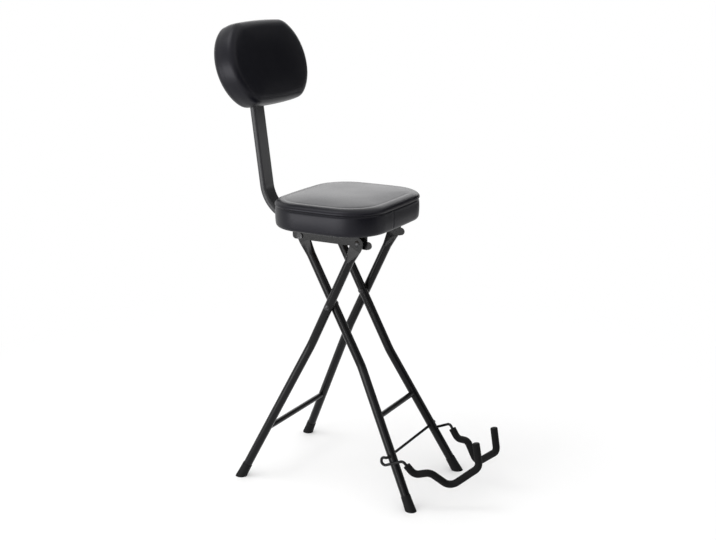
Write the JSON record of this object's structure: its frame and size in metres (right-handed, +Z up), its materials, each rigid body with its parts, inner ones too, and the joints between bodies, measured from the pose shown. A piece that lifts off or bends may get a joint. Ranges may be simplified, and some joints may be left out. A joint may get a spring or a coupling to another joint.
{
  "type": "folding musician stool",
  "caption": "Tall folding stool with crossed tube legs, a padded square seat, a padded backrest on a bent flat tube and a fold-up wire cradle for an instrument.",
  "frame": {"origin": "on the floor, under the middle of the whole object's box", "axes": "+Z up, the sitter faces -Y, +X to the sitter's left; the object is symmetric about the YZ plane"},
  "size_m": [0.3574, 0.7016, 1.1374],
  "materials": {
    "black_steel": "satin powder coat",
    "dark_fastener": "blackened steel",
    "washer_plastic": "moulded nylon",
    "foot_rubber": "matte rubber",
    "plywood": "bare plywood",
    "black_vinyl": "grained vinyl over foam",
    "knob_plastic": "moulded plastic",
    "sleeve_foam": "fine-pored foam rubber"
  },
  "bodies": {
    "outer_frame": {"outer_leg_left": "black_steel", "outer_leg_right": "black_steel", "rear_crossbar": "black_steel", "rear_foot_left": "foot_rubber", "rear_foot_right": "foot_rubber", "cross_rivets": "dark_fastener", "cross_washers": "washer_plastic", "seat_hinge_rivets": "dark_fastener", "seat_hinge_bushes": "washer_plastic"},
    "inner_frame": {"inner_leg_left": "black_steel", "inner_leg_right": "black_steel", "front_crossbar": "black_steel", "front_foot_left": "foot_rubber", "front_foot_right": "foot_rubber", "catch_studs": "dark_fastener"},
    "seat": {"seat_rail_left": "black_steel", "seat_rail_right": "black_steel", "seat_rail_screws": "dark_fastener", "seat_board": "plywood", "seat_cushion": "black_vinyl", "back_socket": "black_steel", "back_socket_screws": "dark_fastener", "clamp_nut": "dark_fastener"},
    "knob": {"clamp_knob": "knob_plastic"},
    "backrest": {"back_bar": "black_steel", "back_bar_plugs": "knob_plastic", "backrest_panel": "knob_plastic", "backrest_screws": "dark_fastener", "backrest_cushion": "black_vinyl"},
    "cradle": {"cradle_wire": "black_steel", "cradle_sleeve_left": "sleeve_foam", "cradle_sleeve_right": "sleeve_foam"}
  },
  "joints": [
    {"name": "leg_fold", "type": "hinge", "parent": "outer_frame", "child": "inner_frame", "pos_m": [0, 0.04434, 0.4676], "axis": [1, 0, 0], "range_deg": [0, 47]},
    {"name": "seat_flip", "type": "hinge", "parent": "outer_frame", "child": "seat", "pos_m": [0, -0.03539, 0.634], "axis": [1, 0, 0], "range_deg": [0, 112.8]},
    {"name": "cradle_fold", "type": "hinge", "parent": "inner_frame", "child": "cradle", "pos_m": [0, -0.13761, 0.1225], "axis": [-1, 0, 0], "range_deg": [0, 115]},
    {"name": "backrest_slide", "type": "slide", "parent": "seat", "child": "backrest", "axis": [0, 1, 0], "range_m": [0, 0.06]},
    {"name": "clamp_knob_turn", "type": "hinge", "parent": "seat", "child": "knob", "pos_m": [0, 0.11634, 0.6454], "axis": [0, 0, -1], "range_deg": [0, 360]}
  ],
  "couplings": [
    {"joint": "seat_flip", "follows": "leg_fold", "ratio": 2.4}
  ]
}
